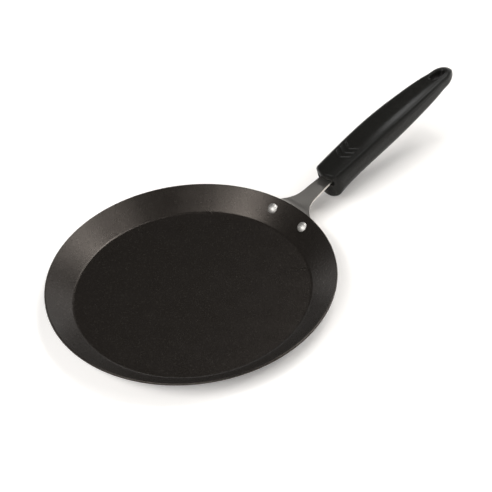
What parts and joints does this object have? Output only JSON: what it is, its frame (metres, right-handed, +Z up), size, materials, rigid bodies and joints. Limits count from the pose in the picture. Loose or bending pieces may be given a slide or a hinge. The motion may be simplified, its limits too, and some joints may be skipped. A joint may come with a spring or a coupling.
{
  "type": "crepe pan",
  "caption": "Shallow round crepe pan with a low sloping wall, a riveted flat steel bracket and a moulded grip with a hang slot.",
  "frame": {"origin": "centre of the flat base, on the surface that the pan stands on", "axes": "+Z up, +X from the centre of the dish out along the handle, +Y to the left of the handle seen from the dish"},
  "size_m": [0.4402, 0.2394, 0.0645],
  "materials": {
    "nonstick": "satin non-stick coating with a fine metallic fleck",
    "bracket_steel": "satin rolled plate",
    "rivet_metal": "bright",
    "grip_plastic": "fine moulded grain",
    "screw_steel": "bright zinc plate"
  },
  "bodies": {
    "root": {"pan_body": "nonstick", "handle_bracket": "bracket_steel", "rivet_left": "rivet_metal", "rivet_right": "rivet_metal", "grip": "grip_plastic", "grip_screw": "screw_steel"}
  },
  "joints": []
}
